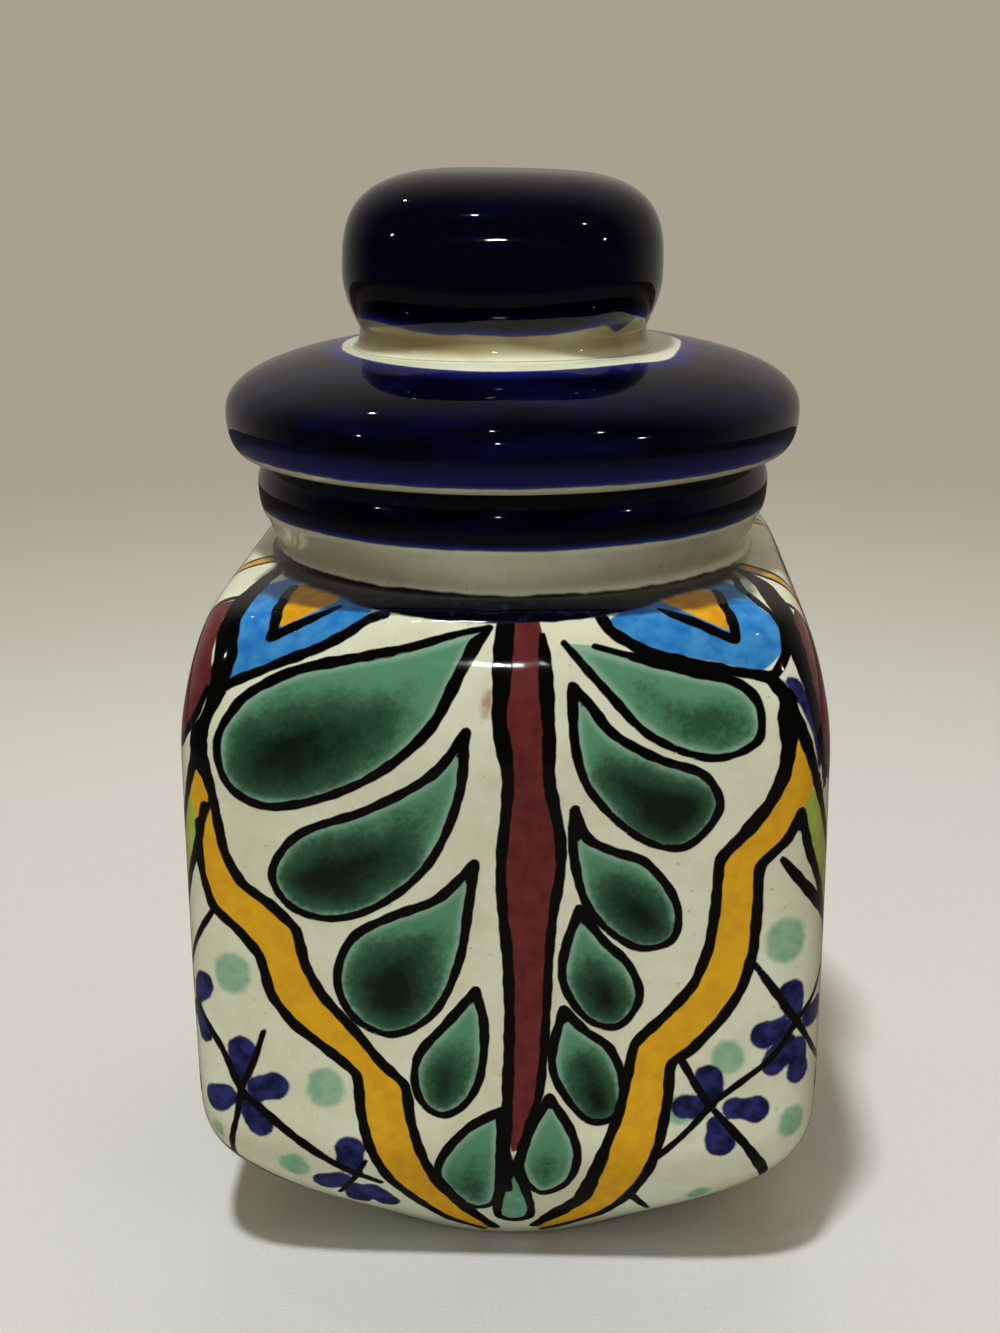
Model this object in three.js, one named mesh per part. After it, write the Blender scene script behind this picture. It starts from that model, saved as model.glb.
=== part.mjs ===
// A talavera spice jar: a square-bellied glazed jar with a round rolled mouth, a round lid with a
// rolled edge, a knob luted onto the lid by hand, and a soft sealing ring on the lid's flange.
// Millimetres, +Z up. The origin is on the surface that the jar stands on, under its centre.
// The face with the burgundy stem looks along -Y.
import * as THREE from 'three';

// Belly and foot
const bellyHalfWidth = 45;
const footHalfWidth = 33.4;
const heelHeight = 20;
const wallHeight = 57.6;
const shoulderRise = 20.5;
const faceBulge = 0.15;
const bodyWall = 4.6;
const floorThickness = 6;
const footRingWidth = 4.5;
const footRecess = 1.5;

// Plan outline of the belly: 2 is a circle, and a larger number is squarer
const bellySquareness = 8.9;
const squareFrom = 27.5;
const roundAgainOver = 4.3;

// Neck and rolled mouth
const neckRadius = 34.5;
const neckRise = 5.5;
const neckFlare = 2.2;
const mouthRollBulge = 1;
const mouthRollHeight = 8.8;
const neckWall = 4.6;

// Lid
const lidGap = 0.3;
const lidOverhang = 4.3;
const lidEdgeDepth = 5.3;
const lidUndercut = 2.6;
const lidCrown = 11.2;
const lidThickness = 5;
const flangeDepth = 13;
const flangeWall = 4.2;
const grooveDepth = 1.2;
const grooveTopDrop = 3;

// Sealing ring, a soft band with two ribs that face the mouth's wall
const sealHeight = 6.4;
const sealBand = 1.6;
const sealRib = 0.7;
const sealClearance = 0.3;

// Knob
const knobHalfWidth = 22.9;
const knobWaistHalfWidth = 20.8;
const knobBaseHalfWidth = 22.6;
const knobHeight = 24.5;
const knobWaistHeight = 2.2;
const knobWidestHeight = 10.5;
const knobSquareness = 3;
const knobBaseSquareness = 2.4;
const knobSeatMargin = 2.6;
const knobOffCentre = 1.2;
const knobWall = 5;

// How finely the faceted surfaces are cut
const bodySides = 48;
const knobSides = 32;
const heelSteps = 6;
const wallSteps = 2;
const shoulderSteps = 9;
const domeSteps = 7;
const knobLowerSteps = 3;
const knobUpperSteps = 8;
const cornerGather = 0.35;

// Heights and radii that follow from the sizes above
const shoulderHeight = heelHeight + wallHeight;
const neckBase = shoulderHeight + shoulderRise;
const rollUnderside = neckBase + neckRise;
const rollUndersideRadius = neckRadius + neckFlare;
const rollMiddle = rollUnderside + mouthRollHeight / 2;
const mouthTop = rollUnderside + mouthRollHeight;
const mouthRollRadius = rollUndersideRadius + mouthRollBulge;
const mouthRadius = neckRadius - neckWall;
const lidUnderside = mouthTop + lidGap;
const lidRadius = mouthRollRadius + lidOverhang;
const lidEdgeMiddle = lidUnderside + lidEdgeDepth;
const seatRadius = knobBaseHalfWidth + knobSeatMargin;
const knobSeat = domeHeight(seatRadius);
const sealOuterRadius = mouthRadius - sealClearance;
const sealBandOuter = sealOuterRadius - sealRib;
const sealInnerRadius = sealBandOuter - sealBand;
const grooveRadius = sealInnerRadius - sealClearance;
const flangeRadius = grooveRadius + grooveDepth;
const flangeInnerRadius = grooveRadius - flangeWall;
const flangeBottom = lidUnderside - flangeDepth;
const grooveTop = lidUnderside - grooveTopDrop;
const sealTop = grooveTop - sealClearance;
const sealBottom = sealTop - sealHeight;
const grooveBottom = sealBottom - sealClearance;

// The lid's domed top, from its widest circle to the axis
function domeHeight(radius) {
  const crownFullness = 0.39;
  return lidEdgeMiddle + lidCrown * (1 - (radius / lidRadius) ** 2) ** crownFullness;
}

// The belly's half width and squareness at a height, from the foot to the neck's base
function heelHalfWidth(height) {
  const heelFullness = 1.27;
  const left = 1 - height / heelHeight;
  const spread = (1 - left ** heelFullness) ** (1 / heelFullness);
  return footHalfWidth + (bellyHalfWidth - footHalfWidth) * spread;
}

function shoulderHalfWidth(height) {
  const upwardFullness = 1.2;
  const outwardFullness = 2.9;
  const climbed = Math.min((height - shoulderHeight) / shoulderRise, 1);
  const spread = (1 - climbed ** upwardFullness) ** (1 / outwardFullness);
  return neckRadius + (bellyHalfWidth - neckRadius) * spread;
}

function bellyHalfWidthAt(height) {
  if (height < heelHeight) {
    return heelHalfWidth(height);
  }
  if (height > shoulderHeight) {
    return shoulderHalfWidth(height);
  }
  const along = (height - heelHeight) / wallHeight;
  return bellyHalfWidth - faceBulge + 4 * faceBulge * along * (1 - along);
}

function squarenessAt(height) {
  const roundFrom = neckBase - roundAgainOver;
  if (height < squareFrom) {
    return 2 + (bellySquareness - 2) * THREE.MathUtils.smoothstep(height, 0, squareFrom);
  }
  const roundness = Math.max((height - roundFrom) / roundAgainOver, 0) ** 2.3;
  return bellySquareness + (2 - bellySquareness) * THREE.MathUtils.smoothstep(roundness, 0, 1);
}

// Heights at which the belly is cut, closer together where it curves
function bellyHeights() {
  const heights = [];
  for (let i = 0; i <= heelSteps; i += 1) {
    heights.push(heelHeight * (1 - Math.cos((Math.PI / 2) * (i / heelSteps))));
  }
  for (let i = 1; i <= wallSteps; i += 1) {
    heights.push(heelHeight + wallHeight * (i / wallSteps));
  }
  for (let i = 1; i <= shoulderSteps; i += 1) {
    heights.push(shoulderHeight + shoulderRise * Math.sin((Math.PI / 2) * (i / shoulderSteps)));
  }
  return heights;
}

// One closed solid from plan outlines stacked along Z. The first and last rows lie on the axis.
// A row is [half width, height, squareness], and the rows run up the outside of the solid.
function stackedOutlines(rows, sides) {
  const positions = [0, 0, rows[0][1]];
  const inner = rows.slice(1, -1);
  for (const [halfWidth, height, squareness] of inner) {
    for (let side = 0; side < sides; side += 1) {
      const turn = (2 * Math.PI * side) / sides;
      const bearing = turn + (cornerGather / 4) * Math.sin(4 * turn);
      const cosine = Math.cos(bearing);
      const sine = Math.sin(bearing);
      const power = Math.abs(cosine) ** squareness + Math.abs(sine) ** squareness;
      const reach = halfWidth * power ** (-1 / squareness);
      positions.push(reach * cosine, reach * sine, height);
    }
  }
  positions.push(0, 0, rows[rows.length - 1][1]);

  const last = positions.length / 3 - 1;
  const topRing = 1 + (inner.length - 1) * sides;
  const indices = [];
  for (let side = 0; side < sides; side += 1) {
    const next = (side + 1) % sides;
    indices.push(0, 1 + next, 1 + side);
    for (let row = 0; row < inner.length - 1; row += 1) {
      const lower = 1 + row * sides;
      const upper = lower + sides;
      indices.push(lower + side, lower + next, upper + next);
      indices.push(lower + side, upper + next, upper + side);
    }
    indices.push(topRing + side, topRing + next, last);
  }

  const geometry = new THREE.BufferGeometry();
  geometry.setAttribute('position', new THREE.Float32BufferAttribute(positions, 3));
  geometry.setIndex(indices);
  geometry.computeVertexNormals();
  return geometry;
}

// A solid of revolution about Z from a list of [radius, height]
function turned(profile) {
  const points = profile.map(([radius, height]) => new THREE.Vector2(radius, height));
  const geometry = new THREE.LatheGeometry(points, bodySides);
  return geometry.rotateX(Math.PI / 2);
}

// Points on a quarter ellipse between two points of a profile, without the first of them.
// The curve sets off level and ends upright, or the other way round.
function quarterTurn(from, to, steps, startsLevel) {
  const points = [];
  for (let i = 1; i <= steps; i += 1) {
    const angle = (Math.PI / 2) * (i / steps);
    const early = Math.sin(angle);
    const late = 1 - Math.cos(angle);
    const across = startsLevel ? early : late;
    const up = startsLevel ? late : early;
    points.push([
      from[0] + (to[0] - from[0]) * across,
      from[1] + (to[1] - from[1]) * up,
    ]);
  }
  return points;
}

function jarBody() {
  const rows = [[0, footRecess, 2]];
  rows.push([footHalfWidth - footRingWidth - footRecess, footRecess, 2]);
  rows.push([footHalfWidth - footRingWidth, 0, 2]);
  for (const height of bellyHeights()) {
    rows.push([bellyHalfWidthAt(height), height, squarenessAt(height)]);
  }

  const roll = [
    ...quarterTurn([rollUndersideRadius, rollUnderside], [mouthRollRadius, rollMiddle], 3, true),
    ...quarterTurn(
      [mouthRollRadius, rollMiddle],
      [(mouthRollRadius + mouthRadius) / 2, mouthTop],
      4,
      false,
    ),
  ];
  rows.push([rollUndersideRadius, rollUnderside, 2]);
  for (const [radius, height] of roll) {
    rows.push([radius, height, 2]);
  }

  const lipRound = 1.2;
  rows.push([mouthRadius + lipRound, mouthTop, 2]);
  rows.push([mouthRadius, mouthTop - lipRound, 2]);
  rows.push([mouthRadius, neckBase - bodyWall, 2]);

  const insideHeights = bellyHeights().filter((height) => height > 0 && height < neckBase).reverse();
  for (const height of insideHeights) {
    const climbed = Math.max((height - shoulderHeight) / shoulderRise, 0);
    const sunk = Math.max(1 - height / heelHeight, 0);
    const insideHeight = height - bodyWall * climbed + floorThickness * sunk;
    const insideHalfWidth = Math.max(bellyHalfWidthAt(height) - bodyWall, mouthRadius);
    rows.push([insideHalfWidth, insideHeight, 0.8 * squarenessAt(height) + 0.4]);
  }
  rows.push([footHalfWidth - bodyWall, floorThickness, 2]);
  rows.push([0, floorThickness, 2]);
  return stackedOutlines(rows, bodySides);
}

function lidCover() {
  const domeUnderside = knobSeat - lidThickness;
  const dome = [];
  for (let i = 1; i <= domeSteps; i += 1) {
    const inward = 1 - Math.cos((Math.PI / 2) * (i / domeSteps));
    const radius = lidRadius - (lidRadius - seatRadius) * inward;
    dome.push([radius, domeHeight(radius)]);
  }
  const profile = [
    [0, domeUnderside],
    [flangeInnerRadius - 3, domeUnderside],
    [flangeInnerRadius, domeUnderside - 2],
    [flangeInnerRadius, flangeBottom],
    [flangeRadius, flangeBottom],
    [flangeRadius, grooveBottom],
    [grooveRadius, grooveBottom],
    [grooveRadius, grooveTop],
    [flangeRadius, grooveTop],
    [flangeRadius, lidUnderside],
    [lidRadius - lidUndercut, lidUnderside],
    ...quarterTurn([lidRadius - lidUndercut, lidUnderside], [lidRadius, lidEdgeMiddle], 4, true),
    ...dome,
    [0, knobSeat],
  ];
  return turned(profile);
}

function lidSeal() {
  const ribHeight = sealHeight / 4;
  const profile = [
    [sealInnerRadius, sealBottom],
    [sealBandOuter, sealBottom],
    [sealOuterRadius, sealBottom + ribHeight],
    [sealBandOuter, sealBottom + 2 * ribHeight],
    [sealOuterRadius, sealBottom + 3 * ribHeight],
    [sealBandOuter, sealTop],
    [sealInnerRadius, sealTop],
    [sealInnerRadius, sealBottom],
  ];
  return turned(profile);
}

// The knob is a hollow block, open below, that stands on the lid's flat seat
function lidKnob() {
  const hollowTop = knobHeight - knobWall;
  const hollowHalfWidth = knobWaistHalfWidth - knobWall;
  const rows = [
    [0, hollowTop, knobBaseSquareness],
    [hollowHalfWidth - 3, hollowTop, knobBaseSquareness],
    [hollowHalfWidth, hollowTop - 3, knobBaseSquareness],
    [hollowHalfWidth, 0, knobBaseSquareness],
    [knobBaseHalfWidth, 0, knobBaseSquareness],
    [knobWaistHalfWidth + 0.5, 0.4 * knobWaistHeight, knobBaseSquareness],
    [knobWaistHalfWidth, knobWaistHeight, knobBaseSquareness],
  ];
  for (let i = 1; i <= knobLowerSteps; i += 1) {
    const climbed = i / knobLowerSteps;
    const spread = Math.sin((Math.PI / 2) * climbed);
    rows.push([
      knobWaistHalfWidth + (knobHalfWidth - knobWaistHalfWidth) * spread,
      knobWaistHeight + (knobWidestHeight - knobWaistHeight) * climbed,
      knobBaseSquareness + (knobSquareness - knobBaseSquareness) * climbed,
    ]);
  }
  for (let i = 1; i < knobUpperSteps; i += 1) {
    const climbed = Math.sin((Math.PI / 2) * (i / knobUpperSteps));
    rows.push([
      knobHalfWidth * (1 - climbed ** 3.2) ** 0.27,
      knobWidestHeight + (knobHeight - knobWidestHeight) * climbed,
      knobSquareness,
    ]);
  }
  rows.push([0, knobHeight, knobSquareness]);
  return stackedOutlines(rows, knobSides);
}

function namedMesh(name, geometry, color, roughness) {
  const material = new THREE.MeshStandardMaterial({ color, roughness, metalness: 0 });
  const mesh = new THREE.Mesh(geometry, material);
  mesh.name = name;
  return mesh;
}

const jar = new THREE.Group();
jar.add(namedMesh('jar_body', jarBody(), 0xe4e2c8, 0.12));

const lid = new THREE.Group();
lid.add(namedMesh('lid_cover', lidCover(), 0x10124a, 0.1));
lid.add(namedMesh('lid_seal', lidSeal(), 0xd8d6cc, 0.6));

const knob = namedMesh('lid_knob', lidKnob(), 0x0b0d38, 0.1);
knob.position.set(-knobOffCentre, 0, knobSeat);
lid.add(knob);
jar.add(lid);

export default jar;
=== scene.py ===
import math

import bpy
import numpy as np
from mathutils import Matrix, Vector


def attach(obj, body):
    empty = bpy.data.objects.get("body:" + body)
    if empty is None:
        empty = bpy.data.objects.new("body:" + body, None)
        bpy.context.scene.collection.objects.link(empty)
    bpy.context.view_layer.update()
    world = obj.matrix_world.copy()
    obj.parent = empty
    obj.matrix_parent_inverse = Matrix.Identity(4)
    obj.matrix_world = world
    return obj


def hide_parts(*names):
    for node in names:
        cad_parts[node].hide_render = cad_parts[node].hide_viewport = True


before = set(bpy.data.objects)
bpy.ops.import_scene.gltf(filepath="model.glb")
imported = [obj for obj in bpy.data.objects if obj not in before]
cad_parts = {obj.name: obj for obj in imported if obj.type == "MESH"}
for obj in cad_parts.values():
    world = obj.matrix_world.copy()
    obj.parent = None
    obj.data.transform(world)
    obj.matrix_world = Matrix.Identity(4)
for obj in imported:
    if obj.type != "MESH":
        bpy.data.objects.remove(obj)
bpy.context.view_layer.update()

METRES = 0.001

# Jar
BELLY = 45.0
FOOT = 33.4
HEEL_HEIGHT = 20.0
SHOULDER_HEIGHT = 77.6
NECK_BASE = 98.1
FACE_BULGE = 0.15
WALL = 4.6
FLOOR = 6.0
FOOT_RING = 4.5
FOOT_RECESS = 1.5
SQUARENESS = 8.9
SQUARE_FROM = 27.5
ROUND_AGAIN_OVER = 4.3
ROUND_AGAIN_POWER = 2.3
HEEL_POWER = 1.27
SHOULDER_CLIMB = 1.2
SHOULDER_POWER = 2.9
NECK = 34.5
NECK_FILLET = 1.6
ROLL_UNDERSIDE = 36.7
ROLL = 37.7
ROLL_BOTTOM = 103.6
ROLL_MIDDLE = 108.0
MOUTH_TOP = 112.4
MOUTH = 29.9
MOUTH_EDGE = 1.4
MOUTH_FLAT = 2.2

# Lid
LID_UNDERSIDE = 112.7
LID = 42.0
LID_UNDERCUT = 2.6
LID_EDGE_MIDDLE = 118.0
LID_CROWN = 11.2
LID_CROWN_POWER = 0.39
LID_THICKNESS = 5.0
SEAT = 25.2
FLANGE = 28.2
FLANGE_INSIDE = 22.8
FLANGE_BOTTOM = 99.7
GROOVE = 27.0
GROOVE_BOTTOM = 102.7
GROOVE_TOP = 109.7

# Sealing ring
SEAL_INSIDE = 27.3
SEAL_BAND = 28.9
SEAL_RIB = 29.6
SEAL_BOTTOM = 103.0
SEAL_TOP = 109.4

# Knob
KNOB = 22.9
KNOB_WAIST = 20.8
KNOB_FOOT = 21.8
KNOB_HEIGHT = 24.5
KNOB_WAIST_HEIGHT = 2.2
KNOB_WIDEST_HEIGHT = 10.5
KNOB_SQUARENESS = 3.0
KNOB_BASE_SQUARENESS = 2.4
KNOB_CROWN_FLATNESS = 3.2
KNOB_CROWN_POWER = 0.27
KNOB_WALL = 5.0
KNOB_CENTRE = -1.2
KNOB_LEAN = 0.024

# Heights and radii at which the glazes that go round the pieces end, before their unevenness
NECK_LINE_ONLY_ABOVE = 80.0
NECK_LINE_TOP = 98.4
RIM_COBALT_BOTTOM = 104.8
RIM_COBALT_INSIDE = 32.2
FOOT_BARE_TOP = 0.6
FOOT_BARE_INSIDE = 27.6
LID_COBALT_BOTTOM = 113.8
LID_COBALT_INSIDE = 24.5
# Painted shade: the lid is glazed darker below this height, for the shade under its edge
LID_SHADE_TOP = 114.0
KNOB_COBALT_BOTTOM = 5.0
# Painted shade: the knob is glazed tan above this height, partly its own colour and partly the shade under
# its overhang
KNOB_SHADE_BOTTOM = 0.8

# How finely the pieces are cut. The painted front is cut finer than the back, and the shoulder's
# top finer than the rest, for its rows lie far apart at the corners.
FRONT_HALF = 58.0
FRONT_COLUMNS = 216
BACK_COLUMNS = 252
COARSER = 4
BELLY_ROWS = 148
SHOULDER_ROWS = 34
SHOULDER_TOP_FROM = 96.0
INSIDE_ROWS = 32
LID_COLUMNS = 192
LID_CROWN_ROWS = 30
KNOB_COLUMNS = 160
KNOB_WAIST_ROWS = 12
KNOB_CROWN_ROWS = 34

# The photograph's camera
CAMERA_DISTANCE = 279.81
CAMERA_HEIGHT = 162.24
CAMERA_TILT = 0.293
CAMERA_ROLL = -0.007
JAR_TURN = 0.042
AIM_OFFSET = 0.0074
FOCAL_PIXELS = 1900.0
LONG_SIDE_PIXELS = 1333.0


# Shape of the jar

def smoothstep(value, low, high):
    part = np.clip((value - low) / (high - low), 0, 1)
    return part * part * (3 - 2 * part)


def sharp_half_width(height):
    left = np.clip(1 - height / HEEL_HEIGHT, 0, 1)
    heel = FOOT + (BELLY - FOOT) * (1 - left ** HEEL_POWER) ** (1 / HEEL_POWER)
    climbed = np.clip((height - SHOULDER_HEIGHT) / (NECK_BASE - SHOULDER_HEIGHT), 0, 1)
    shoulder = NECK + (BELLY - NECK) * (1 - climbed ** SHOULDER_CLIMB) ** (1 / SHOULDER_POWER)
    along = (height - HEEL_HEIGHT) / (SHOULDER_HEIGHT - HEEL_HEIGHT)
    wall = BELLY - FACE_BULGE + 4 * FACE_BULGE * along * (1 - along)
    return np.where(height < HEEL_HEIGHT, heel, np.where(height > SHOULDER_HEIGHT, shoulder, wall))


FINE_HEIGHTS = np.linspace(0, NECK_BASE, 982)
# A turn is eased by a running mean over so many heights, fully up to the first distance from it and
# not at all beyond the second
EASING_HEIGHTS = 81
EASED_UP_TO = 4
SHARP_BEYOND = 10


def softened_half_widths():
    """The belly's profile, with the turns at both ends of its wall eased as thick glaze does."""
    sharp = sharp_half_width(FINE_HEIGHTS)
    padded = np.pad(sharp, EASING_HEIGHTS // 2, mode="edge")
    eased = np.convolve(padded, np.ones(EASING_HEIGHTS) / EASING_HEIGHTS, mode="valid")
    from_heel = np.abs(FINE_HEIGHTS - HEEL_HEIGHT)
    from_shoulder = np.abs(FINE_HEIGHTS - SHOULDER_HEIGHT)
    near_turn = 1 - smoothstep(np.minimum(from_heel, from_shoulder), EASED_UP_TO, SHARP_BEYOND)
    return sharp + (eased - sharp) * near_turn


HALF_WIDTHS = softened_half_widths()


def belly_half_width(height):
    return np.interp(height, FINE_HEIGHTS, HALF_WIDTHS)


def belly_squareness(height):
    round_from = NECK_BASE - ROUND_AGAIN_OVER
    rising = 2 + (SQUARENESS - 2) * smoothstep(height, 0, SQUARE_FROM)
    roundness = np.clip((height - round_from) / ROUND_AGAIN_OVER, 0, None) ** ROUND_AGAIN_POWER
    falling = SQUARENESS + (2 - SQUARENESS) * smoothstep(roundness, 0, 1)
    return np.where(height < SQUARE_FROM, rising, falling)


FINE_BEARINGS = np.linspace(-1.5 * math.pi, 0.5 * math.pi, 1441)


def outline(half_width, squareness, bearings):
    cosine = np.cos(bearings)
    sine = np.sin(bearings)
    power = np.abs(cosine) ** squareness + np.abs(sine) ** squareness
    reach = half_width * power ** (-1 / squareness)
    return reach * cosine, reach * sine


def arc_lengths(x, y):
    return np.concatenate([[0], np.cumsum(np.hypot(np.diff(x), np.diff(y)))])


# Places round the jar are given as "across": millimetres along the belly's outline from the middle
# of the front, positive towards +X. Places up it are given as "up": millimetres along the middle
# of the front from the foot's outer edge.
PERIMETER = arc_lengths(*outline(BELLY, SQUARENESS, FINE_BEARINGS))[-1]
FACE = PERIMETER / 4


def ring(half_width, height, squareness, places):
    x, y = outline(half_width, squareness, FINE_BEARINGS)
    lengths = arc_lengths(x, y)
    across = (lengths / lengths[-1] - 0.5) * PERIMETER
    points = np.empty((len(places), 3))
    points[:, 0] = np.interp(places, across, x)
    points[:, 1] = np.interp(places, across, y)
    points[:, 2] = height
    return points


def column_places():
    front = np.linspace(-FRONT_HALF, FRONT_HALF, FRONT_COLUMNS, endpoint=False)
    back = np.linspace(FRONT_HALF, PERIMETER - FRONT_HALF, BACK_COLUMNS, endpoint=False)
    places = np.concatenate([front, back])
    return np.sort((places + PERIMETER / 2) % PERIMETER - PERIMETER / 2)


def height_table():
    turn = np.linspace(0, math.pi / 2, 200)
    heel = HEEL_HEIGHT * (1 - np.cos(turn))
    wall = np.linspace(HEEL_HEIGHT, SHOULDER_HEIGHT, 60)[1:]
    shoulder = SHOULDER_HEIGHT + (NECK_BASE - SHOULDER_HEIGHT) * np.sin(turn)[1:]
    heights = np.concatenate([heel, wall, shoulder])
    return heights, arc_lengths(belly_half_width(heights), heights)


HEIGHTS, UPS = height_table()


def curve_between(start, corner, end, steps):
    """Rows on a quadratic curve, without its first point. A row is (half width, height, squareness)."""
    rows = []
    for i in range(1, steps + 1):
        part = i / steps
        rows.append(tuple(
            (1 - part) ** 2 * a + 2 * part * (1 - part) * b + part ** 2 * c
            for a, b, c in zip(start, corner, end)
        ))
    return rows


def quarter_turn(start, end, steps, starts_level):
    rows = []
    for i in range(1, steps + 1):
        angle = math.pi / 2 * i / steps
        early = math.sin(angle)
        late = 1 - math.cos(angle)
        across, up = (early, late) if starts_level else (late, early)
        rows.append((start[0] + (end[0] - start[0]) * across, start[1] + (end[1] - start[1]) * up, 2))
    return rows


# Meshes

def stitch(rings, first_centre, last_centre):
    """Vertices and faces of a skin over rings that run up its outside. Neighbouring rings have the
    same count, or one has COARSER times as many as the other. A centre closes an end."""
    vertices = []
    starts = []
    for points in rings:
        starts.append(len(vertices))
        vertices.extend(points.tolist())
    faces = []
    for lower, upper, low_start, up_start in zip(rings, rings[1:], starts, starts[1:]):
        low_count = len(lower)
        up_count = len(upper)
        low_step = max(low_count // up_count, 1)
        up_step = max(up_count // low_count, 1)
        for i in range(min(low_count, up_count)):
            along = [low_start + (i * low_step + k) % low_count for k in range(low_step + 1)]
            back = [up_start + (i * up_step + k) % up_count for k in range(up_step + 1)]
            faces.append(along + back[::-1])
    for centre, start, points, outward in (
        (first_centre, starts[0], rings[0], False),
        (last_centre, starts[-1], rings[-1], True),
    ):
        if centre is None:
            continue
        middle = len(vertices)
        vertices.append(list(centre))
        count = len(points)
        for i in range(count):
            edge = [start + i, start + (i + 1) % count]
            faces.append((edge if outward else edge[::-1]) + [middle])
    return vertices, faces


def piece(name, vertices, faces, material, fields):
    mesh = bpy.data.meshes.new(name)
    mesh.from_pydata((np.array(vertices) * METRES).tolist(), [], faces)
    mesh.polygons.foreach_set("use_smooth", [True] * len(mesh.polygons))
    for field, values in fields.items():
        attribute = mesh.attributes.new(field, "FLOAT", "POINT")
        attribute.data.foreach_set("value", np.asarray(values, dtype=np.float32))
    mesh.materials.append(material)
    made = bpy.data.objects.new(name, mesh)
    bpy.context.scene.collection.objects.link(made)
    return made


def even_places(count):
    return np.linspace(-PERIMETER / 2, PERIMETER / 2, count, endpoint=False)


def turned(profile, columns):
    places = even_places(columns)
    return [ring(radius, height, 2, places) for radius, height in profile]


def soften(profile, reach, steps):
    """A profile of (radius, height) whose inner corners are rounded over a short reach."""
    points = [np.array(point, dtype=float) for point in profile]
    soft = [points[0]]
    for before, corner, after in zip(points, points[1:], points[2:]):
        to_before = before - corner
        to_after = after - corner
        near = min(reach, 0.45 * np.linalg.norm(to_before), 0.45 * np.linalg.norm(to_after))
        start = corner + to_before / np.linalg.norm(to_before) * near
        end = corner + to_after / np.linalg.norm(to_after) * near
        for i in range(steps + 1):
            part = i / steps
            soft.append((1 - part) ** 2 * start + 2 * part * (1 - part) * corner + part ** 2 * end)
    soft.append(points[-1])
    return soft


def around_axis(vertices):
    """The radius, bearing and height of each vertex."""
    place = np.array(vertices)
    return np.hypot(place[:, 0], place[:, 1]), np.arctan2(place[:, 1], place[:, 0]), place[:, 2]


# Painting: fields of signed distance in millimetres, positive inside the paint

UNPAINTED = -3.0
# How far beyond a stroke or a filled shape its field is worked out
STROKE_MARGIN = 1.5
REGION_MARGIN = 3
# Neighbouring black lines go into different layers, so that the gap between them stays clean
LINE_LAYERS = ["even_line", "odd_line", "band_line", "corner_line"]


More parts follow.
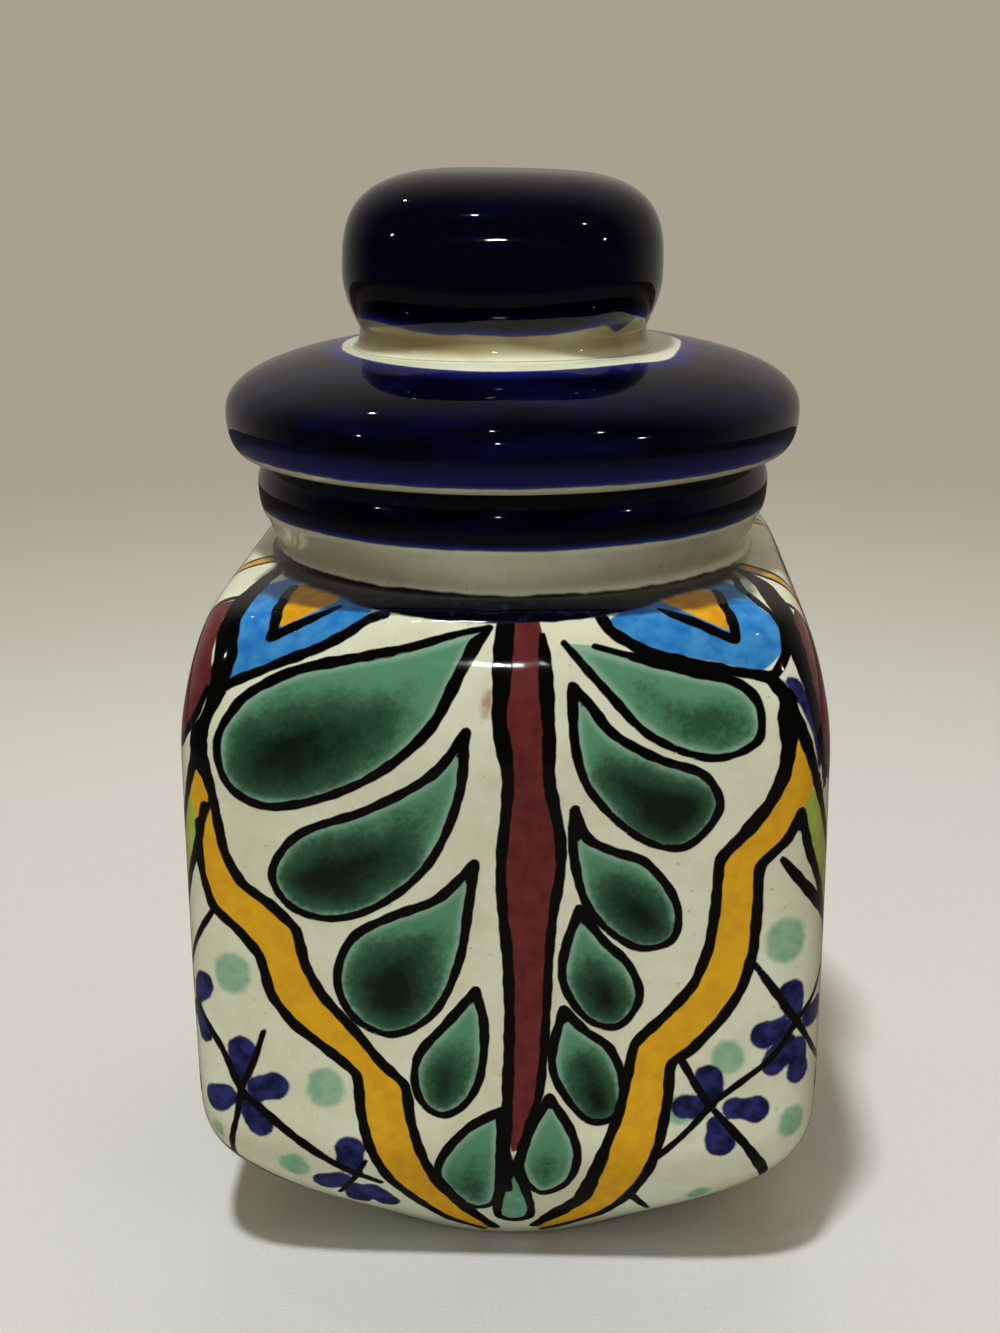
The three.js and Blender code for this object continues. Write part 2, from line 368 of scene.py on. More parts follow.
class Painter:
    """Draws brush lines and filled regions on the belly as fields at its points."""

    def __init__(self, belly, places, ups):
        self.belly = belly
        self.ups = ups
        self.places = np.append(places, places[0] + PERIMETER)
        self.points = belly.reshape(-1, 3)
        self.across = np.tile(places, len(ups))
        self.up = np.repeat(ups, len(places))
        self.fields = {}
        self.strokes = 0

    def field(self, name):
        if name not in self.fields:
            self.fields[name] = np.full(len(self.points), UNPAINTED)
        return self.fields[name]

    def on_surface(self, line):
        across = (line[:, 0] - self.places[0]) % PERIMETER + self.places[0]
        column = np.interp(across, self.places, np.arange(len(self.places)))
        row = np.interp(line[:, 1], self.ups, np.arange(len(self.ups)))
        left = np.floor(column).astype(int)
        low = np.minimum(np.floor(row).astype(int), len(self.ups) - 2)
        count = len(self.places) - 1
        sideways = (column - left)[:, None]
        upward = (row - low)[:, None]
        right = (left + 1) % count
        left = left % count
        bottom = self.belly[low, left] * (1 - sideways) + self.belly[low, right] * sideways
        top = self.belly[low + 1, left] * (1 - sideways) + self.belly[low + 1, right] * sideways
        return bottom * (1 - upward) + top * upward

    def across_near(self, chosen, middle):
        """Where the chosen points lie across, counted the short way round from a middle."""
        return (self.across[chosen] - middle + PERIMETER / 2) % PERIMETER - PERIMETER / 2 + middle

    def near(self, line, reach):
        low = line.min(axis=0) - reach
        high = line.max(axis=0) + reach
        return np.flatnonzero(((self.points > low) & (self.points < high)).all(axis=1))

    def distances(self, chosen, line):
        """Distance from the chosen points to a line, and the place along the line that is nearest."""
        points = self.points[chosen]
        best = np.full(len(points), 1e9)
        place = np.zeros(len(points))
        for i, (start, end) in enumerate(zip(line, line[1:])):
            step = end - start
            length = max(step @ step, 1e-9)
            part = np.clip((points - start) @ step / length, 0, 1)
            gap = np.linalg.norm(points - start - part[:, None] * step, axis=1)
            closer = gap < best
            best = np.where(closer, gap, best)
            place = np.where(closer, i + part, place)
        return best, place

    def stroke(self, name, line, width=0.7, turn=0.0, mirror=1, closed=False, crisp=1.0):
        """A brush line. A point is (across, up) or (across, up, half width)."""
        full = [
            (mirror * point[0] + turn, point[1], point[2] if len(point) > 2 else width)
            for point in line
        ]
        smooth = smooth_line(np.array(full, dtype=float), closed, crisp)
        solid = self.on_surface(smooth)
        chosen = self.near(solid, smooth[:, 2].max() + STROKE_MARGIN)
        gap, place = self.distances(chosen, solid)
        along = np.interp(place, np.arange(len(smooth)), arc_lengths(solid[:, 0], solid[:, 2]))
        self.strokes += 1
        shake = 0.07 * np.sin(0.9 * along + self.strokes) + 0.05 * np.sin(2.3 * along + 2 * self.strokes)
        half_width = np.interp(place, np.arange(len(smooth)), smooth[:, 2])
        field = self.field(name)
        field[chosen] = np.maximum(field[chosen], half_width * (1 + shake) - gap)

    def region(self, name, line, turn=0.0, mirror=1, crisp=1.0):
        """A filled shape. Returns the points near it and their signed distance to its edge."""
        moved = np.array([(mirror * point[0] + turn, point[1], 0) for point in line], dtype=float)
        smooth = smooth_line(moved, True, crisp)
        solid = self.on_surface(smooth)
        chosen = self.near(solid, REGION_MARGIN)
        gap, _ = self.distances(chosen, solid)
        across = self.across_near(chosen, smooth[:, 0].mean())
        signed = np.where(inside(across, self.up[chosen], smooth), gap, -gap)
        field = self.field(name)
        field[chosen] = np.maximum(field[chosen], signed)
        return chosen, signed

    def leaf(self, name, line, layer, turn=0.0, shade=0.9, open_tip=False):
        """A drop-shaped leaf from its tip round to its tip, with its wash of colour and its outline."""
        chosen, signed = self.region(name, line, turn)
        tip = np.array([line[0][0] + turn, line[0][1]])
        far = np.array([line[len(line) // 2][0] + turn, line[len(line) // 2][1]])
        across = self.across_near(chosen, (tip[0] + far[0]) / 2)
        place = np.stack([across, self.up[chosen]], axis=1)
        along = (place - tip) @ (far - tip) / ((far - tip) @ (far - tip))
        ups = [point[1] for point in line]
        middle_up = (max(ups) + min(ups)) / 2
        half_height = (max(ups) - min(ups)) / 2
        lower = (middle_up - self.up[chosen]) / half_height
        # The wash pools away from the leaf's edge, from its tip and from its upper side
        from_edge = (np.clip(signed, 0, None) / max(signed.max(), 1)) ** 0.6
        from_tip = 0.35 + 0.65 * smoothstep(along, 0, 0.5)
        downward = np.clip(0.7 + 0.8 * lower, 0.1, None)
        pool = shade * from_edge * from_tip * downward
        field = self.field(name + "_pool")
        field[chosen] = np.maximum(field[chosen], np.where(signed > 0, pool, 0))
        outline = []
        for point in line:
            width = point[2] if len(point) > 2 else 0.65 + 0.1 * (point[1] - middle_up) / half_height
            outline.append((point[0], point[1], width))
        self.stroke(layer, outline, turn=turn, closed=not open_tip)


def smooth_line(points, closed, crisp):
    """A curve through given points. Crisp is 1 for a round curve and 0 for straight runs."""
    if closed:
        points = np.vstack([points, points[:1]])
    steps = np.maximum(np.linalg.norm(np.diff(points[:, :2], axis=0), axis=1), 1e-6)
    times = np.concatenate([[0], np.cumsum(steps)])
    slopes = np.zeros_like(points)
    slopes[1:-1] = (points[2:] - points[:-2]) / (times[2:] - times[:-2])[:, None]
    slopes[0] = (points[1] - points[0]) / steps[0]
    slopes[-1] = (points[-1] - points[-2]) / steps[-1]
    slopes *= crisp
    curve = []
    for i, length in enumerate(steps):
        count = max(int(length / 0.8), 2)
        part = (np.arange(count) / count)[:, None]
        if crisp == 0:
            curve.append(points[i] + (points[i + 1] - points[i]) * part)
            continue
        curve.append(
            (2 * part ** 3 - 3 * part ** 2 + 1) * points[i]
            + (part ** 3 - 2 * part ** 2 + part) * length * slopes[i]
            + (3 * part ** 2 - 2 * part ** 3) * points[i + 1]
            + (part ** 3 - part ** 2) * length * slopes[i + 1]
        )
    return np.vstack(curve + [points[-1:]])


def inside(across, up, line):
    result = np.zeros(len(across), dtype=bool)
    for (x0, y0, _), (x1, y1, _) in zip(line, line[1:]):
        if y0 == y1:
            continue
        crosses = (y0 > up) != (y1 > up)
        result ^= crosses & (across < (x1 - x0) * (up - y0) / (y1 - y0) + x0)
    return result


# The painted motifs, as (across, up) or (across, up, half width)

LEFT_LEAVES = [
    [(-1.5, 99.4, 0.4), (-5.4, 98.7, 0.5), (-14, 96.4, 0.65), (-22.7, 94.8, 0.75), (-28.1, 93.6, 0.7),
     (-32.8, 91.4, 0.7), (-35.7, 88.9, 0.65), (-38, 83.5, 0.6), (-36, 77.3, 0.6), (-30, 75, 0.65),
     (-18.5, 78.5, 0.65), (-9.8, 85.4, 0.75), (-5.2, 94, 0.85), (-3.3, 97.5, 0.9)],
    [(-4.5, 85.5), (-8.8, 79.9), (-17.5, 74.8), (-27.1, 71), (-30.8, 65.5),
     (-28.5, 60.8), (-23, 59), (-16.5, 61), (-9.7, 67), (-5.5, 76.5)],
    [(-3.5, 67.2), (-8.5, 62.1), (-15, 59.3), (-20.2, 56.1), (-22.4, 50),
     (-20.2, 44.2), (-15, 41.8), (-9.4, 45), (-5.8, 52.6), (-4.3, 61)],
    [(-3.5, 48.6), (-7.6, 43.5), (-11.4, 38.8), (-12.1, 34.3), (-10.6, 30.6), (-8, 29.4),
     (-4.9, 31.5), (-2.9, 36), (-2.4, 43.5)],
    [(-0.1, 30.3), (-5, 27.2), (-9.2, 21.5), (-9.6, 16.5), (-5.5, 11), (-1.7, 12.5), (-0.4, 22)],
]
RIGHT_LEAVES = [
    [(9.9, 91.7), (10, 84), (11.8, 78), (18.4, 71.3), (24.5, 70), (29, 75.5),
     (27, 80), (21, 82.2), (15, 85.6), (12, 89.5)],
    [(10, 75), (9.7, 69.5), (11.9, 61), (18, 55.5), (23, 56.5), (23.6, 61.7),
     (19.5, 67.6), (15, 69.3), (11.5, 71.2)],
    [(10.6, 60.8), (8.7, 55), (8.5, 49.8), (11.9, 44.5), (16, 43.6), (18.8, 48),
     (17.3, 52.8), (14, 56.2)],
    [(8.5, 46), (6.9, 39), (7.8, 34.5), (12, 29), (15.5, 29.5), (16.8, 34), (15, 40), (11.3, 43)],
    [(6.6, 32.5), (9.5, 27.5), (10.7, 23), (9.5, 17.5), (6, 15.2), (3.2, 18.5), (2.6, 24)],
]
OPEN_LEAF = [
    (9.1, 97.4, 0.5), (14.8, 90.8), (20, 85.3), (28, 82.4), (34, 84.5), (35, 88.5), (34.2, 90.8),
    (32, 92.5), (28.1, 93.4), (23, 94.5, 0.65), (19.6, 95.4, 0.6), (13.4, 97, 0.35),
]
# How far each leaf's wash has darkened, left then right
LEAF_SHADES = [0.95, 0.9, 1, 0.7, 0.4, 1.0, 0.85, 0.85, 0.9, 0.4]
BOTTOM_DROP = [(1.5, 21), (-0.6, 14), (-1.2, 8.4), (1.7, 7), (4.6, 8.4), (4, 14)]

STEM = [
    (2.1, 100.8), (1.7, 95), (1, 86), (2.1, 78), (0.9, 70.5), (0.8, 64), (1.5, 55), (1.8, 44),
    (1.5, 32), (1.6, 24), (2.7, 26), (4.7, 32), (5.5, 43), (6, 55), (7.2, 64), (7.3, 70), (6, 76.5),
    (5.5, 82), (6, 87.5), (5.3, 94), (5.8, 98), (5, 100.8),
]
STEM_LEFT = [
    (0.8, 100, 1.1), (0.5, 97, 1.3), (0.3, 94.5, 1.4), (0.2, 91, 1.1), (-0.1, 87.5, 1.05),
    (0.8, 82, 1.05), (1.1, 79, 0.85), (0.7, 73.5, 0.8), (0.1, 67.5, 0.75), (0.3, 60, 0.75),
    (0.9, 53.5, 0.8), (1.1, 45, 0.75), (0.9, 36, 0.85), (0.6, 29, 0.85), (0.4, 22, 0.8), (0.6, 16, 0.8),
]
STEM_RIGHT = [
    (6.1, 98.4, 0.4), (6.3, 95.3, 0.9), (6.4, 90, 1), (6.6, 85, 0.9), (6.5, 79.5, 0.9), (7.1, 76, 0.85),
    (8, 71, 0.8), (8, 66, 0.75), (7.2, 61, 0.7), (6.6, 55, 0.65), (6.2, 46, 0.65), (5.7, 38, 0.65),
    (5, 32, 0.65), (3.4, 26, 0.8), (2, 20.5, 0.8),
]

# The yellow bands' edges, from the shoulder down to the heel
LEFT_BAND_UPPER = [
    (-41.3, 84, 1.6), (-41, 81.5, 1.8), (-39.5, 78.5, 0.9), (-38.8, 76, 0.8), (-37.3, 68), (-35, 63.8),
    (-31.3, 61), (-27.8, 57.3), (-26.8, 52.3), (-24.5, 47.5), (-20, 42), (-16.5, 37.2), (-13.5, 34),
    (-12.8, 28.5), (-11.4, 22), (-9.8, 17, 1), (-6.3, 9.8, 1), (-2.4, 4, 0.8),
]
LEFT_BAND_LOWER = [
    (-41.6, 71.5), (-41.3, 65), (-39.6, 60), (-36, 57), (-33, 53.2), (-31.6, 47.5), (-28.8, 43.3),
    (-24.5, 39.6), (-20.2, 35.5), (-19.8, 30), (-19, 24.5), (-17.2, 17.5), (-14.1, 11.5), (-11, 6.5),
    (-5, 3, 0.6),
]
RIGHT_BAND_UPPER = [
    (39, 90.2, 1.2), (38.7, 87.5, 1.5), (38.4, 84, 1.25), (37.5, 80, 1), (35.6, 76, 0.95),
    (32.5, 72, 0.95), (29.3, 68.3), (28.8, 62), (28, 55.5), (26, 50), (22.7, 45.8), (18.3, 41),
    (17.4, 36.5), (16.3, 30.5), (14.6, 25), (13.5, 20, 1.1), (12.6, 14, 1.2), (9, 9, 1.2), (6, 5, 0.8),
]
RIGHT_BAND_LOWER = [
    (40.2, 74.3), (38.3, 70.8), (34.6, 67.2), (34.4, 62), (34, 55), (32.6, 49.5), (30, 45), (26, 40.2),
    (23.3, 38), (23, 33), (22.2, 27), (21, 20), (19.5, 13.5), (17.3, 8.8), (12.5, 5), (8, 2.8, 0.6),
]

# The side faces' bands, from the middle of the side
SIDE_BAND_UPPER = [
    (-46, 90.5, 1), (-44.7, 87, 1), (-41.7, 78), (-37.2, 68.5), (-32.2, 60), (-28.7, 54), (-26.2, 49),
    (-22.7, 45.5), (-18.3, 41), (-17.2, 36.5), (-16, 30.5), (-14.2, 25), (-13.2, 20), (-12.4, 14),
    (-9, 9), (-6, 5),
]
SIDE_BAND_LOWER = [
    (-44.5, 74.3), (-42.8, 68.5), (-39.9, 62.7), (-36.2, 55), (-32.7, 48), (-26.7, 41), (-23.2, 38),
    (-22.7, 33), (-21.7, 27), (-20.7, 20), (-19.7, 13.5), (-17.2, 8.8), (-12.7, 5), (-8.2, 2.8),
]

# The blue chevrons on the shoulder's corners, with a yellow triangle in each
LEFT_CHEVRON = [
    (-37.9, 91.8), (-37.4, 92.8), (-37.3, 95), (-38, 97), (-39.2, 98.5), (-39.8, 99.8), (-41.8, 101.6),
    (-47, 102.7), (-47, 103.8), (-36, 104.4), (-24, 103.4), (-21.1, 101.7), (-21.8, 99.9),
    (-23.6, 98.7), (-26, 97.5), (-28.5, 96.2), (-33.4, 94),
]
LEFT_TRIANGLE = [
    (-42.9, 103.3), (-36.8, 102.3), (-34.1, 100.8), (-32.5, 99.1), (-30.5, 100.4), (-29.3, 101.6),
    (-28.8, 102.8), (-34.6, 103.9), (-43.6, 104.1),
]
LEFT_CHEVRON_INSIDE = [
    (-42.4, 103.2), (-36.9, 102.1, 0.75), (-34.2, 100.6, 0.75), (-33.4, 98.9), (-33.4, 97.7, 0.6),
    (-30.9, 99.1, 0.65), (-28.9, 100.3, 0.65), (-27.4, 101.4, 0.55), (-26.9, 102.3, 0.35),
]
LEFT_CHEVRON_EDGE = [
    (-18.1, 101.3, 0.75), (-19.8, 100.6), (-21.5, 99.1), (-23.4, 97.8), (-25.7, 96.6, 0.75),
    (-28.3, 95.5), (-30.7, 94.6, 0.65), (-33.2, 93.4, 0.65), (-35.6, 92.4, 0.65), (-37.9, 91.1),
    (-39.4, 90),
]
RIGHT_CHEVRON = [
    (16.7, 100.4), (19, 98.3), (22.3, 96.8), (25.2, 96.2), (30.6, 95.3), (36, 94.1), (39.6, 96.1),
    (40.5, 97.7), (40.9, 100.1), (41.2, 101.5), (43.2, 102.5), (46.8, 103.1), (46, 104), (30, 103.8),
    (20, 102),
]
RIGHT_TRIANGLE = [
    (28.6, 102.5), (30.1, 100.9), (33.2, 99.1), (35.4, 101.8), (40.9, 103.1), (40.2, 103.8),
    (34.9, 104), (28.6, 103.6),
]
RIGHT_CHEVRON_INSIDE = [
    (25.9, 102.2, 0.4), (26.6, 101.5, 0.6), (28.7, 100.5), (31.1, 99.1, 0.65), (33.8, 97.9, 0.6),
    (34.2, 99.1), (34.7, 100.4, 0.75), (36.5, 102, 0.75), (41.4, 103.1),
]
RIGHT_CHEVRON_EDGE = [
    (15.3, 101.1, 0.8), (15.9, 99.3, 0.75), (17.6, 98, 0.8), (19.5, 96.9, 0.85), (22.1, 95.6, 0.9),
    (25, 95.2, 0.9), (27.7, 94.5, 0.8), (30.3, 94.1, 0.8), (33.2, 93.6), (35.6, 93.2), (37, 92.8, 0.8),
    (38.2, 91.3, 1.1), (39.3, 89.5, 1.2),
]
RIGHT_CHEVRON_SIDE = [
    (51.3, 103.5, 0.5), (45.5, 102.7, 0.6), (42.5, 101.6, 0.6), (41.8, 100.2, 0.6), (41.7, 98.7),
    (41.1, 97, 0.75), (40.6, 95.7, 0.8), (38.9, 94, 0.8), (37.6, 92.9, 0.8),
]
# Yellow that runs on from the bands' tops round the corners, down to the lime
LEFT_BAND_CORNER = [(-43.6, 76.5), (-41.5, 80.5)]
RIGHT_BAND_CORNER = [(42.8, 78.5), (41, 84)]

LEFT_FLOWERS = [
    ((-36.4, 32.3), [(-36.3, 37.6), (-40.4, 30.4), (-32.6, 33.2), (-34.6, 28)]),
    ((-45.2, 44), [(-42.6, 47), (-43.2, 40.8), (-49, 47.4), (-48.6, 40.6)]),
    ((-22.8, 17.8), [(-22, 22.6), (-26.8, 16.8), (-20.6, 13), (-24.6, 13.2)]),
    ((-52.4, 31.8), [(-52, 36.4), (-56.2, 32.4), (-48.6, 30.6), (-53.4, 27.2)]),
]
RIGHT_FLOWERS = [
    ((29.3, 31.6), [(28.6, 35.2), (25.9, 31.4), (34, 31), (30.4, 26.6)]),
    ((40.7, 43.2), [(39.9, 47.2), (36.9, 42.4), (38, 38.6), (41.4, 37.2), (45.2, 43.8)]),
    ((54, 31), [(54.6, 35), (50, 31.6), (58, 30.4), (53.2, 26.6)]),
]
LEFT_NET = [
    [(-45, 45, 0.6), (-39.5, 38.6, 0.6), (-36.6, 32.4, 0.6), (-33, 28.8, 0.7), (-28.2, 24.2, 0.7),
     (-23.5, 19.9, 0.6), (-19, 17)],
    [(-32.9, 41.9, 0.4), (-34.6, 37), (-36.6, 32.6), (-37.8, 27.6), (-41, 20)],
    [(-39.4, 59.5), (-42.8, 54.8), (-46, 50), (-50, 45)],
    [(-45, 44), (-49.5, 37), (-52.4, 31.8), (-57, 27), (-62, 22)],
    [(-52.4, 31.8), (-48, 25), (-41, 20), (-35, 13)],
    [(-27.5, 13.5, 0.35), (-22.8, 17.8), (-20, 21.5, 0.35)],
]
RIGHT_NET = [
    [(24.7, 38.6, 0.6), (27.2, 34, 0.6), (29.3, 31), (32.3, 27.5, 0.65), (38.5, 20, 0.85), (43, 15)],
    [(40.7, 43.7), (37.4, 39), (33.3, 35.5), (29.3, 32), (26, 27.8), (22, 23.3)],
    [(34.4, 52.8, 0.5), (37.1, 48.9, 0.65), (40.7, 43.7, 0.6), (46, 37), (54, 31), (60, 26)],
    [(50, 52), (46, 48), (40.7, 43.7)],
    [(37.6, 68, 0.5), (41, 63.9, 0.9), (44.5, 60.2, 0.9), (50, 54, 0.6)],
    [(20.5, 14.8, 0.7), (25.9, 10.1, 0.5)],
    [(54, 31), (49, 24), (43, 15)],
]
DOTS = [
    (-37.1, 50.2, 2.6), (-24.6, 33.5, 2.7), (-31, 20, 2.2), (-41.7, 24.7, 1), (38.6, 56.1, 2.7),
    (31, 39.1, 2.1), (24.9, 30.9, 1.9), (41, 28, 2.2), (31.4, 14.7, 1.6), (-50, 57, 2.3),
    (-59, 35, 2.4), (-48, 18, 2), (52, 45, 2.4), (58, 38, 2.2), (50, 20, 2.2), (61, 17, 2),
]
SMUDGE = [(-1.9, 88, 0.5), (-1.6, 90.4, 0.7)]
# A petal's stroke, as (share of the way from the flower's centre to the petal's place, half width)
PETAL_STROKE = [(0.62, 1.75), (1.2, 2.1)]
DOT_HALF_LENGTH = 0.4
NET_WIDTH = 0.5
BACK_NET_WIDTH = 0.62
# The lower edges of the dark line round the neck and of the thinner wash below it, from the middle
# of the front to the middle of a side
NECK_LINE_EDGE = [
    (0, 100), (8, 100.2), (14, 100.9), (19, 101.7), (24, 102.4), (29, 103), (34, 103.3), (43, 103.5),
    (52, 103.6), (60, 104.6), (84, 105.4),
]
NECK_WASH_EDGE = [
    (0, 100.2), (15, 101), (18, 101.1), (24, 101.6), (30, 101.9), (38, 102.3), (46, 102.4), (54, 102.9),
    (60, 104), (84, 105.2),
]

# The corners' heavy lines, their burgundy petals and yellow strips, and the right one's navy leaf
LEFT_CORNER = [
    (-60, 104.6, 0.7), (-56, 103.9, 0.9), (-50.8, 103, 1.2), (-45.5, 102.1, 1.5), (-41.5, 100.6, 1.5),
    (-40.5, 98.6, 1.6), (-39.9, 96.8, 1.9), (-39.3, 95.3, 1.9), (-39.2, 93.6, 1.7), (-39.3, 91.8, 1.3),
    (-39.6, 90.5, 1), (-40.2, 87, 0.8), (-41, 84.5, 1.5),
]
LEFT_PETAL = [
    (-44.5, 101.6), (-42.8, 99), (-42, 95), (-40.9, 91.5), (-41.6, 88.5), (-43.5, 85.5), (-46.5, 82),
    (-50, 86), (-52, 91), (-51, 96), (-48, 100),
]
LEFT_PETAL_LINE = [
    (-40.7, 90.5, 0.5), (-42, 87), (-43.8, 84.3), (-46.5, 81.5), (-50.5, 85.5), (-52.7, 91),
    (-51.5, 96.5), (-48, 100.8), (-44.5, 102.2),
]
LEFT_STRIP = [
    (-62, 105.5), (-62.5, 103), (-63, 100.5), (-64.5, 97), (-68, 97.5), (-67, 101), (-66.5, 105.5),
]
RIGHT_CORNER = [
    (58, 104.4, 0.7), (55.7, 103.5, 0.9), (52, 102.6, 1.2), (47.6, 101.8, 1.5), (44.3, 100.3, 1.7),
    (43.5, 97.9, 1.7), (43.1, 95.3, 1.6), (43.1, 92.7, 1.4), (43.5, 89.5, 1.2), (43.9, 85, 1),
    (44.6, 81, 0.8), (45.5, 77, 0.7),
]
RIGHT_PETAL = [
    (46, 99.2), (44.6, 96), (44.7, 93), (44.8, 90), (45, 86), (46, 80), (49, 78), (52, 84), (53, 90),
    (51, 96), (48.5, 99.5),
]
RIGHT_PETAL_LINE = [(45.5, 79), (49, 77), (52.6, 84), (53.7, 90), (51.6, 96.5), (48.5, 100.5)]
RIGHT_STRIP = [
    (57.5, 105.5), (56.8, 103), (56.2, 100.5), (55.5, 97), (59, 97.5), (60, 100.5), (61.5, 105.5),
]
SIDE_LEFT_LEAF = [
    (-4, 99.5), (-13, 95.6), (-21, 93.2), (-26.8, 88.8), (-25.5, 84), (-19, 82.6), (-10, 86.4),
    (-5.6, 93),
]
SIDE_RIGHT_LEAF = [
    (9.6, 98.6), (11, 91.6), (16, 85.4), (22.4, 83.4), (26.6, 86.6), (25, 91.4), (17.4, 94.6),
]
NAVY_LEAF = [
    (39.1, 92.3), (40.2, 92.7), (41.8, 91.6), (42.6, 89.8), (43, 87.5), (43.5, 84.5), (44, 80),
    (43.3, 79.5), (42.5, 83.5), (41.6, 86.5), (40.6, 88.8), (39.6, 90.8),
]


def paint_face(painter, turn):
    """The front's pattern, with the nets of both its corners. The back has it too."""
    for i, (leaf, shade) in enumerate(zip(LEFT_LEAVES + RIGHT_LEAVES, LEAF_SHADES)):
        painter.leaf("leaf", leaf, LINE_LAYERS[i % 2], turn, shade)
    painter.leaf("leaf", OPEN_LEAF, "even_line", turn, 0.55, open_tip=True)
    painter.region("pale_leaf", BOTTOM_DROP, turn)
    painter.stroke("corner_line", BOTTOM_DROP, 0.65, turn, closed=True)
    painter.region("burgundy", STEM, turn)
    painter.stroke("band_line", STEM_LEFT, turn=turn)
    painter.stroke("band_line", STEM_RIGHT, turn=turn)
    for upper, lower, corner in (
        (LEFT_BAND_UPPER, LEFT_BAND_LOWER, LEFT_BAND_CORNER),
        (RIGHT_BAND_UPPER, RIGHT_BAND_LOWER, RIGHT_BAND_CORNER),
    ):
        painter.region("yellow", upper + lower[::-1] + corner, turn, crisp=0.5)
        painter.stroke("band_line", upper, 0.75, turn, crisp=0.5)
        painter.stroke("band_line", lower, 0.75, turn, crisp=0.5)
    for chevron, triangle, petal, strip, lines in (
        (LEFT_CHEVRON, LEFT_TRIANGLE, LEFT_PETAL, LEFT_STRIP,
         (LEFT_CHEVRON_INSIDE, LEFT_CHEVRON_EDGE, LEFT_PETAL_LINE)),
        (RIGHT_CHEVRON, RIGHT_TRIANGLE, RIGHT_PETAL, RIGHT_STRIP,
         (RIGHT_CHEVRON_INSIDE, RIGHT_CHEVRON_EDGE, RIGHT_CHEVRON_SIDE, RIGHT_PETAL_LINE)),
    ):
        painter.region("blue", chevron, turn, crisp=0.6)
        painter.region("triangle", triangle, turn, crisp=0.2)
        painter.region("burgundy", petal, turn)
        painter.region("triangle", strip, turn)
        painter.stroke("corner_line", strip, 0.5, turn, closed=True)
        for line in lines:
            painter.stroke("corner_line", line, 0.7, turn, crisp=0.6)
    painter.stroke("band_line", LEFT_CORNER, turn=turn)
    painter.stroke("band_line", RIGHT_CORNER, turn=turn)
    painter.region("navy", NAVY_LEAF, turn)
    for centre, petals in LEFT_FLOWERS + RIGHT_FLOWERS:
        for petal in petals:
            across = petal[0] - centre[0]
            up = petal[1] - centre[1]
            line = [(centre[0] + part * across, centre[1] + part * up, size) for part, size in PETAL_STROKE]
            painter.stroke("navy", line, turn=turn)
    for line in LEFT_NET + RIGHT_NET:
        painter.stroke("odd_line", line, NET_WIDTH if turn == 0 else BACK_NET_WIDTH, turn)
    for across, up, size in DOTS:
        line = [(across, up - DOT_HALF_LENGTH, size), (across, up + DOT_HALF_LENGTH, size)]
        painter.stroke("dot", line, turn=turn)
    painter.stroke("smudge", SMUDGE, turn=turn)


def paint_side(painter, turn):
    """A side's pattern of the same family: navy leaves, a yellow stem and lime bands."""
    leaves = [SIDE_LEFT_LEAF] + LEFT_LEAVES[1:] + [SIDE_RIGHT_LEAF] + RIGHT_LEAVES
    for i, leaf in enumerate(leaves):
        painter.leaf("navy_leaf", leaf, LINE_LAYERS[i % 2], turn)
    painter.region("yellow", STEM, turn)
    painter.stroke("band_line", STEM_LEFT, turn=turn)
    painter.stroke("band_line", STEM_RIGHT, turn=turn)
    for mirror in (1, -1):
        painter.region("lime", SIDE_BAND_UPPER[2:] + SIDE_BAND_LOWER[::-1], turn, mirror, crisp=0.5)
        painter.stroke("band_line", SIDE_BAND_UPPER, 0.8, turn, mirror, crisp=0.5)
        painter.stroke("band_line", SIDE_BAND_LOWER, 0.8, turn, mirror, crisp=0.5)


# The waves of an uneven edge, as (height, waves round the jar, how much of the phase shifts them)
EDGE_WAVES = [(0.5, 2, 1), (0.35, 5, 2.1), (0.25, 11, 3.7)]


def waver(bearings, phase):
    """An uneven hand-painted edge round the jar, about 1 either way."""
    return sum(size * np.sin(count * bearings + part * phase) for size, count, part in EDGE_WAVES)


# Materials

def srgb(red, green, blue):
    """A colour as it looks on screen, from 0 to 255, turned into the shader's linear values."""
    linear = []
    for value in (red, green, blue):
        part = value / 255
        linear.append(part / 12.92 if part <= 0.04045 else ((part + 0.055) / 1.055) ** 2.4)
    return (*linear, 1)


BACKDROP = srgb(168, 161, 143)

# The jar's paints from the lowest to the topmost, as (field, softness and unevenness of its edge,
# colours). Two colours are mottled. Four are a leaf's wash from its pale rim inwards.
PAINTS = [
    ("smudge", 0.6, 0.8, (190, 168, 140), (160, 120, 100)),
    ("dot", 0.55, 0.8, (125, 172, 140), (150, 185, 155)),
    ("navy", 0.22, 0.5, (14, 16, 52), (44, 48, 108)),
    ("blue", 0.1, 0.2, (34, 110, 184), (64, 140, 198)),
    ("lime", 0.1, 0.2, (150, 175, 60), (170, 190, 95)),
    ("yellow", 0.1, 0.2, (222, 170, 36), (210, 156, 34)),
    ("triangle", 0.1, 0.2, (214, 160, 30), (192, 134, 25)),
    ("burgundy", 0.1, 0.2, (106, 46, 45), (86, 35, 36)),
    ("pale_leaf", 0.1, 0.2, (115, 165, 135), (90, 150, 118)),
    ("leaf", 0.1, 0.3, (134, 172, 150), (87, 141, 110), (46, 82, 58), (14, 31, 17)),
    ("navy_leaf", 0.1, 0.3, (84, 94, 165), (42, 50, 125), (24, 28, 84), (10, 11, 40)),
]
# Paints that run on under their black edges, and how far
UNDER_LINES = {"burgundy": 0.35, "blue": 0.35}


